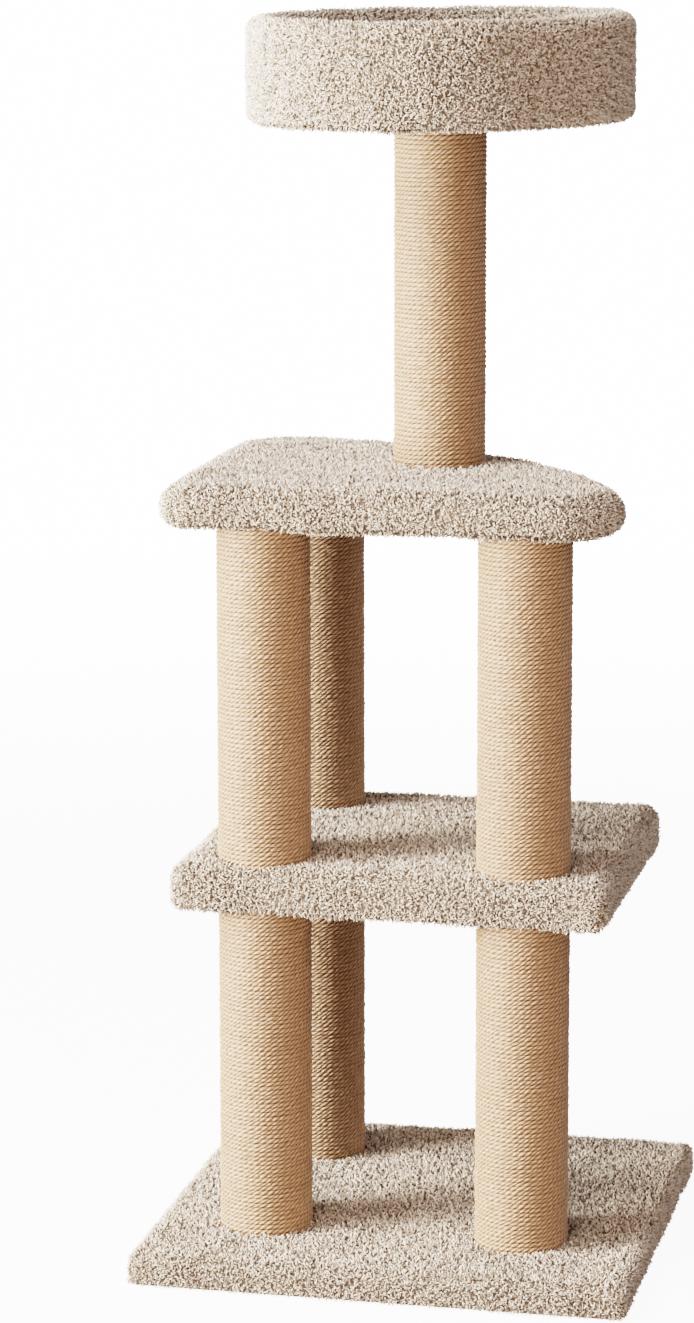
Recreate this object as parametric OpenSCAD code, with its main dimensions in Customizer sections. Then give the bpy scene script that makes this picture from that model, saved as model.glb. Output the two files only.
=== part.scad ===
// Cat tree: a carpeted base, a carpeted middle shelf on three sisal posts, a fan-shaped
// top shelf on three more, and a round bed with a carpeted wall on one central post.
// Millimetres, +Z up, front towards -Y. The origin is the centre of the base's underside.

/* [Base] */
// Width of the carpeted base
base_w = 558; // [500:1:620]
// Depth of the carpeted base
base_d = 541; // [500:1:620]
// Height of the base at the top of its pile
base_h = 37; // [37:1:44]

/* [Shelves] */
// Thickness of a carpeted shelf
shelf_h = 53; // [48:1:60]
// Width of the middle shelf
mid_w = 489; // [440:1:540]
// Depth of the middle shelf
mid_d = 415; // [412:1:460]
// Middle shelf's centre, to the right of the base's centre
mid_x = -4.5; // [-15:0.5:10]
// Middle shelf's centre, behind the base's centre
mid_y = 20.5; // [10:0.5:22]
// Width of the top shelf
top_w = 508; // [495:1:530]
// Depth of the top shelf
top_d = 426; // [415:1:450]
// Left edge of the top shelf
top_left = -262; // [-270:1:-255]
// Front edge of the top shelf
top_front = -190; // [-196:1:-186]
// Radius of the top shelf's square front left corner
fan_corner_r = 40; // [25:1:60]
// Radius of the top shelf's two corners at the ends of its curved edge
fan_end_r = 72; // [60:1:80]
// Radius of the top shelf's curved edge
fan_edge_r = 520; // [500:5:620]

/* [Posts] */
// Outer diameter of a roped post
post_d = 104; // [98:1:108]
// Thickness of the sisal rope
rope_d = 5.2; // [4:0.1:8]
// Wall of the cardboard core tube
tube_wall = 4; // [3:0.5:6]
// Length of post that shows between two levels
post_gap = 370; // [340:1:400]
// Length of post that shows under the bed
bed_gap = 377; // [340:1:400]
// Left posts' centre
post_left = -152; // [-160:1:-145]
// Right post's centre
post_right = 139; // [125:1:145]
// Front posts' centre
post_front = -125; // [-127:1:-118]
// Rear post's centre
post_rear = 153; // [140:1:158]
// Bed post's centre, to the right
bed_x = 9; // [-10:1:20]
// Bed post's centre, to the rear
bed_y = 52; // [40:1:60]

/* [Bed] */
// Outer diameter of the bed
bed_d = 431; // [400:1:450]
// Height of the bed
bed_h = 118; // [100:1:140]
// Thickness of the bed's hoop
hoop_t = 6; // [4:0.5:8]
// Thickness of the carpet on the inside of the hoop
inner_carpet_t = 14; // [8:1:16]

/* [Carpet and boards] */
// Thickness of the carpet, backing and pile
carpet_t = 16.5; // [14:0.5:16.5]
// Thickness of a plywood board
board_t = 18; // [15:0.5:18]
// Rolled edge of a shelf
shelf_roll = 22; // [16:1:22]
// Depth to which a post beds into the pile
post_seat = 6; // [3:0.5:9]
// Width of carpet turned under a shelf
shelf_hem_w = 62; // [40:1:70]
// Width of carpet turned under the base
base_hem_w = 48; // [40:1:60]

/* [Fasteners] */
// Diameter of the connecting bolts and studs
bolt_d = 8; // [6:1:8]
// Length of a connecting bolt
bolt_l = 50; // [46:1:54]
// Length of a stud through the middle shelf
stud_l = 90; // [84:1:96]
// Thickness of a plug in the end of a post
plug_t = 20; // [18:1:24]

/* [Hidden] */
$fn = 96;

post_names = ["lower_front_left", "lower_front_right", "lower_rear_left",
              "upper_front_left", "upper_front_right", "upper_rear_left", "bed_post"];
piece_names = ["rope", "core", "foot_plug", "head_plug"];

CARPET = [0.80, 0.74, 0.65];
SISAL = [0.82, 0.66, 0.45];
CARDBOARD = [0.66, 0.53, 0.38];
PLYWOOD = [0.80, 0.66, 0.46];
STEEL = [0.72, 0.73, 0.75];

eps = 0.01;
base_hem_t = base_h - carpet_t - board_t;
mid_z = base_h + post_gap;
top_z = mid_z + shelf_h + post_gap;
bed_z = top_z + shelf_h + bed_gap;
board_lift = (shelf_h - board_t) / 2;

post_r = post_d / 2;
tube_r = post_r - rope_d;
plug_r = tube_r - tube_wall;
seat_clear = 0.3;
lower_floor = base_h - post_seat;
upper_floor = mid_z + shelf_h - post_seat;
bed_floor = top_z + shelf_h - post_seat;
gap_l = post_gap + 2 * post_seat;
bed_gap_l = bed_gap + 2 * post_seat;

left_front = [post_left, post_front];
right_front = [post_right, post_front];
left_rear = [post_left, post_rear];
corner_posts = [left_front, right_front, left_rear];
bed_at = [bed_x, bed_y];
// Each post: its place, the height of its lower end and its length
posts = [for (i = [0:6])
    i < 3 ? [corner_posts[i], lower_floor, gap_l]
    : i < 6 ? [corner_posts[i - 3], upper_floor, gap_l]
    : [bed_at, bed_floor, bed_gap_l]];

// Degrees between the rings of points round a rolled edge
roll_step = 30;
base_top_roll = 15;
base_low_roll = 5;
base_corner_r = 12;
mid_corner_r = 16;
board_corner_r = 4;

bed_r = bed_d / 2;
hoop_r = bed_r - carpet_t;
bed_in_r = hoop_r - hoop_t - inner_carpet_t;
rim_r = (bed_r - bed_in_r) / 2;
bed_patch_r = bed_r - shelf_hem_w;
bed_floor_z = bed_z + carpet_t;
bed_low_roll = 14;
bed_floor_top = bed_floor_z + board_t;
hoop_top = bed_z + bed_h - carpet_t;

bolt_r = bolt_d / 2;
hole_r = bolt_r + 0.4;
sink_d = 7;
sink_r = 13;
washer_r = 11;
washer_t = 1.6;
head_r = 7.5;
head_h = 4.6;
nut_flange_r = 9.5;
nut_flange_t = 1.5;
nut_barrel_r = 5;
nut_barrel_h = 9;
fit = 0.05;

screw_count = 8;
screw_r = 1.75;
screw_head_r = 3.6;
screw_l = 26;
staple_wire = 1.2;
staple_leg = 9;
staple_crown = 10;
staple_inset = 27;
staple_count_x = 7;
staple_count_y = 6;
rope_staple_rise = 8;

/* Outlines */
// An arc that runs straight on into another leaves out the point that they share
function arc(c, r, from, to, steps, shared = 0) =
    [for (i = [0:steps - shared]) c + r * [cos(from + (to - from) * i / steps),
                                           sin(from + (to - from) * i / steps)]];

// Centre of the curved edge, so that it runs smoothly into both end corners
fan_right_c = [top_left + top_w - fan_end_r, top_front + fan_end_r];
fan_rear_c = [top_left + fan_end_r, top_front + top_d - fan_end_r];
fan_chord = norm(fan_rear_c - fan_right_c) / 2;
fan_along = (fan_rear_c - fan_right_c) / (2 * fan_chord);
fan_out = [fan_along[1], -fan_along[0]];
fan_drop = sqrt(pow(fan_edge_r - fan_end_r, 2) - pow(fan_chord, 2));
fan_c = (fan_right_c + fan_rear_c) / 2 - fan_out * fan_drop;
fan_from = atan2(fan_right_c[1] - fan_c[1], fan_right_c[0] - fan_c[0]);
fan_to = atan2(fan_rear_c[1] - fan_c[1], fan_rear_c[0] - fan_c[0]);

function fan_points(inset) =
    concat(arc([top_left, top_front] + fan_corner_r * [1, 1], fan_corner_r - inset, 180, 270, 8),
           arc(fan_right_c, fan_end_r - inset, -90, fan_from, 12, 1),
           arc(fan_c, fan_edge_r - inset, fan_from, fan_to, 16, 1),
           arc(fan_rear_c, fan_end_r - inset, fan_to, 180, 12));

function rect_points(w, d, r, inset) =
    let (corner = max(r - inset, 1), x = w / 2 - inset - corner, y = d / 2 - inset - corner)
    concat(arc([x, y], corner, 0, 90, 8),
           arc([-x, y], corner, 90, 180, 8),
           arc([-x, -y], corner, 180, 270, 8),
           arc([x, -y], corner, 270, 360, 8));

module fan(inset = 0) {
    polygon(fan_points(inset));
}

module rounded_rect(w, d, r, inset = 0) {
    polygon(rect_points(w, d, r, inset));
}

// Carpeted slab: the outline, ring by ring, drawn in round its lower and its upper edge
module rolled_slab(outline, h, low_roll, top_roll) {
    rings = concat(
        [for (a = [90:-roll_step:0]) [low_roll * (1 - cos(a)), low_roll * (1 - sin(a))]],
        [for (a = [0:roll_step:90]) [top_roll * (1 - cos(a)), h - top_roll * (1 - sin(a))]]);
    n = len(outline(0));
    last = len(rings) - 1;
    polyhedron(
        points = [for (ring = rings) for (p = outline(ring[0])) [p[0], p[1], ring[1]]],
        faces = concat(
            [[for (i = [0:n - 1]) i]],
            [[for (i = [n - 1:-1:0]) last * n + i]],
            [for (k = [0:last - 1]) for (i = [0:n - 1])
                let (j = (i + 1) % n) [k * n + i, (k + 1) * n + i, (k + 1) * n + j, k * n + j]]));
}

module rect_slab(w, d, r, h, low_roll, top_roll) {
    rolled_slab(function(inset) rect_points(w, d, r, inset), h, low_roll, top_roll);
}

module fan_slab(h, roll) {
    rolled_slab(function(inset) fan_points(inset), h, roll, roll);
}

module mid_place() {
    translate([mid_x, mid_y, mid_z]) children();
}

module at_posts(places, z) {
    for (p = places) translate([p[0], p[1], z]) children();
}

// Pocket that a post's end presses into the pile, with the bolt's hole beyond it
module post_pocket() {
    translate([0, 0, -post_seat]) cylinder(h = post_seat + 1, r = post_r + seat_clear);
}

module through_hole(h) {
    cylinder(h = h, r = hole_r, $fn = 32);
}

/* Base */
module base_board_shape() {
    translate([0, 0, base_hem_t]) linear_extrude(board_t)
        rounded_rect(base_w, base_d, board_corner_r + carpet_t, carpet_t);
}

module base_carpet() {
    color(CARPET) difference() {
        rect_slab(base_w, base_d, base_corner_r, base_h, base_low_roll, base_top_roll);
        base_board_shape();
        translate([0, 0, -1]) linear_extrude(base_hem_t + 1 + eps)
            rounded_rect(base_w, base_d, base_hem_w + 6, base_hem_w);
        at_posts(corner_posts, base_h) post_pocket();
        at_posts(corner_posts, base_hem_t) through_hole(base_h);
        base_staple_places() staple(fit);
    }
}

module base_board() {
    color(PLYWOOD) difference() {
        base_board_shape();
        at_posts(corner_posts, 0) through_hole(base_h);
        at_posts(corner_posts, base_hem_t - 1) cylinder(h = sink_d + 1, r = sink_r);
        base_staple_places() staple(fit);
    }
}

/* Middle shelf */
module mid_board_shape() {
    mid_place() translate([0, 0, board_lift]) linear_extrude(board_t)
        rounded_rect(mid_w, mid_d, board_corner_r + carpet_t, carpet_t);
}

module mid_carpet() {
    color(CARPET) difference() {
        mid_place() rect_slab(mid_w, mid_d, mid_corner_r, shelf_h, shelf_roll, shelf_roll);
        mid_board_shape();
        mid_place() translate([0, 0, -1]) linear_extrude(board_lift + 1 + eps)
            rounded_rect(mid_w, mid_d, shelf_hem_w + 6, shelf_hem_w);
        at_posts(corner_posts, mid_z + shelf_h) post_pocket();
        at_posts(corner_posts, mid_z + post_seat - 1) post_pocket();
        at_posts(corner_posts, mid_z) through_hole(shelf_h);
    }
}

module mid_underside_carpet() {
    color(CARPET) difference() {
        mid_place() linear_extrude(board_lift)
            rounded_rect(mid_w, mid_d, shelf_hem_w + 6, shelf_hem_w);
        at_posts(corner_posts, mid_z + post_seat - 1) post_pocket();
        at_posts(corner_posts, mid_z) through_hole(shelf_h);
    }
}

module mid_board() {
    color(PLYWOOD) difference() {
        mid_board_shape();
        at_posts(corner_posts, mid_z) through_hole(shelf_h);
    }
}

/* Top shelf */
module top_carpet() {
    color(CARPET) difference() {
        translate([0, 0, top_z]) fan_slab(shelf_h, shelf_roll);
        translate([0, 0, top_z + board_lift]) linear_extrude(board_t) fan(carpet_t);
        translate([0, 0, top_z - 1]) linear_extrude(board_lift + 1 + eps) fan_patch();
        at_posts([bed_at], top_z + shelf_h) post_pocket();
        at_posts(corner_posts, top_z + post_seat - 1) post_pocket();
        at_posts(corner_posts, top_z) through_hole(board_lift + eps);
        at_posts([bed_at], top_z + board_lift) through_hole(shelf_h);
    }
}

// The carpet patch under the top shelf, inside the turned-in edge
module fan_patch() {
    intersection() {
        fan(fan_corner_r - 1);
        translate([top_left + shelf_hem_w, top_front + shelf_hem_w]) square([top_w, top_d]);
    }
}

module top_underside_carpet() {
    color(CARPET) difference() {
        translate([0, 0, top_z]) linear_extrude(board_lift) fan_patch();
        at_posts(corner_posts, top_z + post_seat - 1) post_pocket();
        at_posts(corner_posts, top_z - 1) through_hole(shelf_h);
    }
}

module top_board() {
    board_top = top_z + board_lift + board_t;
    color(PLYWOOD) difference() {
        translate([0, 0, top_z + board_lift]) linear_extrude(board_t) fan(carpet_t);
        at_posts(corner_posts, top_z) through_hole(shelf_h);
        at_posts(corner_posts, board_top - sink_d) cylinder(h = sink_d + 1, r = sink_r);
        at_posts([bed_at], top_z) through_hole(shelf_h);
        at_posts([bed_at], board_top - board_t - 1) cylinder(h = sink_d + 1, r = sink_r);
    }
}

/* Bed */
module bed_place(z) {
    translate([bed_x, bed_y, z]) children();
}

module bed_wrap_carpet() {
    rim_c = [bed_in_r + rim_r, bed_h - rim_r];
    color(CARPET) bed_place(bed_z) difference() {
        rotate_extrude() {
            translate([bed_in_r, carpet_t]) square([2 * rim_r, bed_h - rim_r - carpet_t]);
            translate(rim_c) intersection() {
                circle(rim_r);
                translate([-rim_r, 0]) square([2 * rim_r, rim_r]);
            }
            translate([bed_patch_r, 0]) square([shelf_hem_w - bed_low_roll, carpet_t]);
            translate([bed_r - bed_low_roll, bed_low_roll])
                square([bed_low_roll, carpet_t - bed_low_roll]);
            translate([bed_r - bed_low_roll, bed_low_roll]) intersection() {
                circle(bed_low_roll);
                translate([0, -bed_low_roll]) square(bed_low_roll);
            }
        }
        translate([0, 0, carpet_t]) rotate_extrude() {
            square([hoop_r - hoop_t, board_t]);
            square([hoop_r - hoop_t - inner_carpet_t, board_t + carpet_t]);
            translate([hoop_r - hoop_t - eps, 0])
                square([hoop_t + eps, bed_h - 2 * carpet_t]);
        }
        hoop_screw_places() translate([0, 0, carpet_t]) screw_head(fit);
    }
}

module bed_floor_carpet() {
    color(CARPET) bed_place(bed_floor_top) cylinder(h = carpet_t, r = bed_in_r);
}

module bed_underside_carpet() {
    color(CARPET) difference() {
        bed_place(bed_z) cylinder(h = carpet_t, r = bed_patch_r);
        at_posts([bed_at], bed_z + post_seat - 1) post_pocket();
        at_posts([bed_at], bed_z) through_hole(shelf_h);
    }
}

module bed_hoop() {
    color(PLYWOOD) bed_place(bed_floor_z) difference() {
        cylinder(h = hoop_top - bed_floor_z, r = hoop_r);
        translate([0, 0, -1]) cylinder(h = bed_h, r = hoop_r - hoop_t);
        hoop_screw_places() screw(fit);
    }
}

module bed_floor_board() {
    color(PLYWOOD) bed_place(bed_floor_z) difference() {
        cylinder(h = board_t, r = hoop_r - hoop_t);
        translate([0, 0, -1]) through_hole(shelf_h);
        translate([0, 0, board_t - sink_d]) cylinder(h = sink_d + 1, r = sink_r);
        hoop_screw_places() screw(fit);
    }
}

/* Posts */
module post_place(i, z = 0) {
    translate([posts[i][0][0], posts[i][0][1], posts[i][1] + z]) children();
}

module post_rope(i) {
    color(SISAL) difference() {
        post_place(i) cylinder(h = posts[i][2], r = post_r);
        post_place(i, -1) cylinder(h = posts[i][2] + 2, r = tube_r);
        rope_staple_places(i) staple(fit);
    }
}

module post_core(i) {
    color(CARDBOARD) difference() {
        post_place(i) cylinder(h = posts[i][2], r = tube_r);
        post_place(i, -1) cylinder(h = posts[i][2] + 2, r = plug_r);
        rope_staple_places(i) staple(fit);
    }
}

// A plug with a tee nut let into its inner face, drawn with that face at the top
module plug() {
    difference() {
        cylinder(h = plug_t, r = plug_r);
        translate([0, 0, -1]) through_hole(plug_t + 2);
        translate([0, 0, plug_t - nut_barrel_h]) cylinder(h = nut_barrel_h + 1, r = nut_barrel_r);
    }
}

module post_foot_plug(i) {
    color(PLYWOOD) difference() {
        post_place(i) plug();
        rope_staple_places(i) staple(fit);
    }
}

module post_head_plug(i) {
    color(PLYWOOD) difference() {
        post_place(i, posts[i][2]) mirror([0, 0, 1]) plug();
        rope_staple_places(i) staple(fit);
    }
}

/* Fasteners */
// A bolt with its head at the bottom and its shank upwards
module bolt() {
    cylinder(h = head_h, r = head_r);
    cylinder(h = head_h + bolt_l, r = bolt_r);
}

module washer() {
    difference() {
        cylinder(h = washer_t, r = washer_r);
        translate([0, 0, -1]) cylinder(h = washer_t + 2, r = bolt_r + fit);
    }
}

head_drop = head_h + washer_t;
base_sink_z = base_hem_t + sink_d;
top_sink_z = top_z + board_lift + board_t - sink_d;
bed_post_sink_z = top_z + board_lift + sink_d;
bed_sink_z = bed_floor_top - sink_d;

module base_bolts() {
    color(STEEL) at_posts(corner_posts, base_sink_z - head_drop) bolt();
}

module top_bolts() {
    color(STEEL) at_posts(corner_posts, top_sink_z + head_drop) mirror([0, 0, 1]) bolt();
}

module bed_post_bolts() {
    color(STEEL) {
        at_posts([bed_at], bed_post_sink_z - head_drop) bolt();
        at_posts([bed_at], bed_sink_z + head_drop) mirror([0, 0, 1]) bolt();
    }
}

module bolt_washers() {
    color(STEEL) {
        at_posts(corner_posts, base_sink_z - washer_t) washer();
        at_posts(corner_posts, top_sink_z) washer();
        at_posts([bed_at], bed_post_sink_z - washer_t) washer();
        at_posts([bed_at], bed_sink_z) washer();
    }
}

module mid_studs() {
    color(STEEL) at_posts(corner_posts, mid_z + (shelf_h - stud_l) / 2)
        cylinder(h = stud_l, r = bolt_r);
}

// A tee nut with its flange at the top
module tee_nut() {
    difference() {
        union() {
            translate([0, 0, -nut_barrel_h + 1]) cylinder(h = nut_barrel_h, r = nut_barrel_r - fit);
            cylinder(h = nut_flange_t, r = nut_flange_r);
        }
        translate([0, 0, -nut_barrel_h]) cylinder(h = 2 * nut_barrel_h, r = bolt_r + fit);
    }
}

module tee_nuts() {
    color(STEEL) for (i = [0:6]) {
        post_place(i, plug_t) tee_nut();
        post_place(i, posts[i][2] - plug_t) mirror([0, 0, 1]) tee_nut();
    }
}

// Screws that hold the hoop to the edge of the bed's floor, each pointing at the centre
module hoop_screw_places() {
    for (i = [0:screw_count - 1]) rotate([0, 0, (i + 0.5) * 360 / screw_count])
        translate([hoop_r, 0, 0]) children();
}

module screw_head(clear = 0) {
    translate([0, 0, board_t / 2]) rotate([0, 90, 0])
        cylinder(h = 1.6 + clear, r = screw_head_r + clear, $fn = 24);
}

module screw(clear = 0) {
    screw_head(clear);
    translate([0, 0, board_t / 2]) rotate([0, -90, 0])
        cylinder(h = screw_l + clear, r = screw_r + clear, $fn = 24);
}

module hoop_screws() {
    color(STEEL) bed_place(bed_floor_z) hoop_screw_places() screw();
}

// A wire staple with its crown along X at z = 0 and its legs upwards
module staple(clear = 0) {
    wire = staple_wire + 2 * clear;
    translate([-staple_crown / 2 - clear, -wire / 2, -clear])
        cube([staple_crown + 2 * clear, wire, wire]);
    for (side = [-1, 1])
        translate([side * (staple_crown - staple_wire) / 2 - wire / 2, -wire / 2, -clear])
            cube([wire, wire, staple_leg + 2 * clear]);
}

module base_staple_places() {
    z = base_hem_t / 3;
    x_step = (base_w - 2 * staple_inset - 60) / (staple_count_x - 1);
    y_step = (base_d - 2 * staple_inset - 60) / (staple_count_y - 1);
    for (side = [-1, 1]) {
        for (i = [0:staple_count_x - 1])
            translate([(i - (staple_count_x - 1) / 2) * x_step,
                       side * (base_d / 2 - staple_inset), z]) children();
        for (i = [0:staple_count_y - 1])
            translate([side * (base_w / 2 - staple_inset),
                       (i - (staple_count_y - 1) / 2) * y_step, z])
                rotate([0, 0, 90]) children();
    }
}

module base_staples() {
    color(STEEL) base_staple_places() staple();
}

// Each rope end is stapled at the rear of its post, near the lower and upper end
module rope_staple_places(i) {
    for (z = [rope_staple_rise, posts[i][2] - rope_staple_rise])
        post_place(i, z) translate([0, post_r - 2, 0]) rotate([90, 0, 0]) children();
}

module rope_staples() {
    color(STEEL) for (i = [0:6]) rope_staple_places(i) staple();
}

base_carpet();
base_board();
mid_carpet();
mid_underside_carpet();
mid_board();
top_carpet();
top_underside_carpet();
top_board();
bed_wrap_carpet();
bed_floor_carpet();
bed_underside_carpet();
bed_hoop();
bed_floor_board();
base_bolts();
mid_studs();
top_bolts();
bed_post_bolts();
bolt_washers();
tee_nuts();
hoop_screws();
base_staples();
rope_staples();
for (i = [0:6]) {
    post_rope(i);
    post_core(i);
    post_foot_plug(i);
    post_head_plug(i);
}
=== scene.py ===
"""Looks of the carpeted cat tree, built round its CAD frame. Metres, +Z up, front towards -Y."""
import math

import bpy
import numpy as np
from mathutils import Matrix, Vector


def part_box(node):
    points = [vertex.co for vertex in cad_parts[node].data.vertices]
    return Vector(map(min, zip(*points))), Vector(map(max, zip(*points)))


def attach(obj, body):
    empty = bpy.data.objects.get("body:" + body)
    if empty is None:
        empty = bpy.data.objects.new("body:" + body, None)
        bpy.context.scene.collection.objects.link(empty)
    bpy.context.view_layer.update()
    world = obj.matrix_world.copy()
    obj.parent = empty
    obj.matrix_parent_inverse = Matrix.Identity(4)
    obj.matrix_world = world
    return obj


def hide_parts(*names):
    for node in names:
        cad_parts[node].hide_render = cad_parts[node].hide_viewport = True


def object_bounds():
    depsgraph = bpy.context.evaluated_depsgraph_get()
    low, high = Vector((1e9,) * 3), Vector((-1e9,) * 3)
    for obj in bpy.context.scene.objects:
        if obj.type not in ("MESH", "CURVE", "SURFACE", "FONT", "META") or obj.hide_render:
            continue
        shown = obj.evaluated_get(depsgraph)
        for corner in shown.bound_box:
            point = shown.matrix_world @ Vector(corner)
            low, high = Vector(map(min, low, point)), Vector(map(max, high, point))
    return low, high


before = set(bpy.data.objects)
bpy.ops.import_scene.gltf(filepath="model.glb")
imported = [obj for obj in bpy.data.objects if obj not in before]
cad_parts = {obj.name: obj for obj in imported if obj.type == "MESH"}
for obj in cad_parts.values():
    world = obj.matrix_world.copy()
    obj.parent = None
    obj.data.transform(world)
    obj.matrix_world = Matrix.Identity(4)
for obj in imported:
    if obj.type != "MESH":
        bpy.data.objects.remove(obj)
cad_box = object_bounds()

MM = 0.001
MESH_FACES_MAX = 190000      # faces that one piece of pile may hold

# Camera: where it stands, how it is turned, and its lens
CAMERA_PLACE = (0.933, -4.578, 1.584)
CAMERA_YAW = 12.55
CAMERA_DOWN = 11.16
CAMERA_ROLL = -0.09
CAMERA_LENS = 115.7

# Light: a tall soft window on the left, made of two lamps, a weak warm lamp in front, and a dim
# warm surround. Each lamp: name, azimuth and elevation in degrees, power in watts, colour
LAMPS = (("window_low", -65, 5, 760, (1.0, 0.935, 0.835)),
         ("window_high", -55, 46, 270, (1.0, 0.91, 0.86)),
         ("front_warm", -5, 5, 155, (1.0, 0.77, 0.63)))
LAMP_DISTANCE = 4.2
LAMP_SIZE = 1.95
FILL_COLOUR = (0.565, 0.46, 0.415)
BACKDROP_GLOW = 12.0           # brightness of the backdrop, for the camera only
FLOOR_COLOUR = (0.80, 0.80, 0.80)
FLOOR_GLOW = 4.0               # keeps the floor pale in shade
FLOOR_RINGS = (1.0, 3.0, 9.0, 40.0)     # radii
FLOOR_SIDES = 96
FLOOR_FADE = (1.6, 5.0)        # the floor turns into the backdrop between these distances

# Carpet: cut pile of twisted yarn on a darker backing
SIDE_CELL = 1.95 * MM        # one tuft stands in each cell of this size, on upright faces
TOP_CELL = 2.55 * MM
UNDER_CELL = 3.6 * MM
LEVEL_FACE = 0.5             # a face whose normal's Z passes this counts as level, not upright
SPOTS_PER_CELL = 4           # random spots tried for each cell, so that few cells stay empty
FLOOR_FACE = 0.6             # the base has no pile where its normal's Z is under minus this
CELL_KEY = np.array([1, 4096, 4096 ** 2])      # numbers a cell by its three places
PILE_DEPTH = 5.6 * MM        # from the carpet's outer surface down to the roots
BACKING_DEPTH = 4.6 * MM
BACKING_SHARE = 0.6          # most of a thin carpet's depth that lies outside its backing
BACKING_TILT = 0.2           # creases draw the backing mostly sideways: the share kept in Z
SPLIT_SLANT = 0.37           # direction, in plan, in which long pile is split into pieces
YARN = {"length": (5.4 * MM, 8.4 * MM), "girth": (0.65 * MM, 0.93 * MM),
        "lean": (0.0, 0.5), "bend": (0.3, 2.0)}
TUFT_RINGS = ((0.35, 1.0), (0.8, 0.9))     # share of length, share of girth
TUFT_SIDES = 3
LUMP_SIZE = 0.5 * MM         # unevenness of the pile
LUMP_WAVES = 14
LUMP_LENGTHS = (28 * MM, 110 * MM)
CREASE_PLACE = 0.72          # share of a corner's arc at which its tuck lies
CREASE_DEPTH = 4.5 * MM
CREASE_WIDTH = 3.2 * MM
CREASE_TOP = 1.25            # a tuck fades out at the top; over 1 leaves a trace there
POST_MARGIN = 0.6 * MM       # bare ring round a post's end
SEAM_GAP = 1.6 * MM          # between a hem and the patch inside it
SHARP = 1.0 * MM             # smallest radius of a corner that is drawn in
CLEARANCE = 0.2 * MM         # room left between the looks' shells and what they lie on
TOUCHING = 1e-7              # arcs this close meet
ARC_POINTS = 13
STRAIGHT_POINTS = 36
ROLL_STEPS = 6

# The slabs' rolled edges and turned-in hems
BASE_LOW_ROLL = 5 * MM
BASE_TOP_ROLL = 15 * MM
SHELF_LOW_ROLL = 15 * MM
SHELF_ROLL = 22 * MM
FAN_ROLLS = (23 * MM, 27 * MM)
BASE_RISE = 2.5 * MM         # how far the pile on top stands prouder than the CAD's surface
MID_RISE = 3 * MM
MID_SAG = 3 * MM             # how far the middle shelf's rolled edge hangs below
BED_RISE = 2 * MM
BED_TILT = 0.011             # rise of the bed's pile towards the right, as a slope
BASE_HEM = 48 * MM
SHELF_HEM = 62 * MM
BASE_CORNER = 12 * MM
MID_CORNER = 16 * MM
FAN_CORNER = 40 * MM
FAN_END = 72 * MM
FAN_EDGE = 520 * MM
BED_LOW_ROLL = 14 * MM

# Sisal rope: three strands, wound wrap on wrap
ROPE_PITCH = 5.05 * MM       # height of a wrap, before it is rounded to whole wraps
STRANDS = 3
LOBE_COLUMNS = 4             # mesh columns across each strand
ROPE_LAY = 20 * MM           # length in which a strand goes once round the rope
ROPE_ROWS = 4                # mesh rows across the round of each wrap
ROPE_REACH = 60              # degrees from a wrap's crest to where it meets the next
STRAND_GROOVE = 0.62         # depth of the groove between strands, in rope radii
SHOULDER_PAINTED_SHADE = 0.4            # painted shade: how much darker a wrap's shoulders are painted than its crest
GROOVE_PAINTED_SHADE = 0.9           # painted shade: how much darker the grooves between strands are painted
WRAP_GAP = 0.16 * MM         # half the width of the crevice between wraps
ROPE_WANDER = 0.12 * MM      # how far the rope's thickness strays
WANDER_WAVES = ((5.3, 0), (11.9, 1), (3.1, 4))     # each: radians a turn, phase
ROPE_DRIFT = 0.8 * MM        # how far the wraps stray up and down
ROPE_SLIP = 0.018            # how far the strands stray along a wrap, in radians
ROPE_FADE = 20 * MM          # both fade out over this length at a rope's ends
# Waves of the two: strength, waves a turn, radians per metre of height, share of the seed as phase
DRIFT_WAVES = ((1.0, 1, 37, 1), (1.0, 2, -61, 3), (0.6, 3, 430, 5))
SLIP_WAVES = ((1.0, 5, 90, 1), (1.0, 9, -310, 2))
STRAND_UNEVEN = 0.16         # how much the strands differ in thickness
FIBRE = {"length": (6 * MM, 17 * MM), "girth": (0.10 * MM, 0.17 * MM),
         "lean": (0.9, 1.4), "bend": (0.1, 0.8)}
FIBRE_COUNT = 320            # loose fibres on each post
FIBRE_ROOT = 0.8 * MM        # how deep they start
FIBRE_MARGIN = 12 * MM       # length at a post's ends that has none
STAPLE_RISE = 8 * MM         # height of a staple above the rope's end
STAPLE_DENT = 2.4 * MM
STAPLE_REACH = 3.2 * MM
STAPLE_STRETCH = 1.6         # a dent is this much wider than high
CORNER_POSTS = ("front_left", "front_right", "rear_left")


# ---------------------------------------------------------------- mesh building
def make_object(name, points, faces, attributes=(), smooth=True):
    """A mesh object from arrays: faces is a list of index arrays, each with one number of corners."""
    mesh = bpy.data.meshes.new(name)
    corners = np.concatenate([f.ravel() for f in faces])
    sizes = np.concatenate([np.full(len(f), f.shape[1]) for f in faces])
    mesh.vertices.add(len(points))
    mesh.vertices.foreach_set("co", np.asarray(points, np.float32).ravel())
    mesh.loops.add(len(corners))
    mesh.loops.foreach_set("vertex_index", corners.astype(np.int32))
    mesh.polygons.add(len(sizes))
    starts = np.concatenate([[0], np.cumsum(sizes)[:-1]])
    mesh.polygons.foreach_set("loop_start", starts.astype(np.int32))
    mesh.polygons.foreach_set("use_smooth", np.full(len(sizes), smooth))
    mesh.update(calc_edges=True)
    for key, values in attributes:
        kind = "FLOAT" if values.ndim == 1 else "FLOAT_VECTOR"
        field = "value" if values.ndim == 1 else "vector"
        layer = mesh.attributes.new(key, kind, "POINT")
        layer.data.foreach_set(field, values.astype(np.float32).ravel())
    obj = bpy.data.objects.new(name, mesh)
    bpy.context.scene.collection.objects.link(obj)
    return obj


def stand_in(obj, material, node):
    """A new piece that stands for a CAD node: gets its material, hangs under the root body, and hides
    the node.
    """
    obj.data.materials.append(material)
    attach(obj, "root")
    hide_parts(node)


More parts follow.
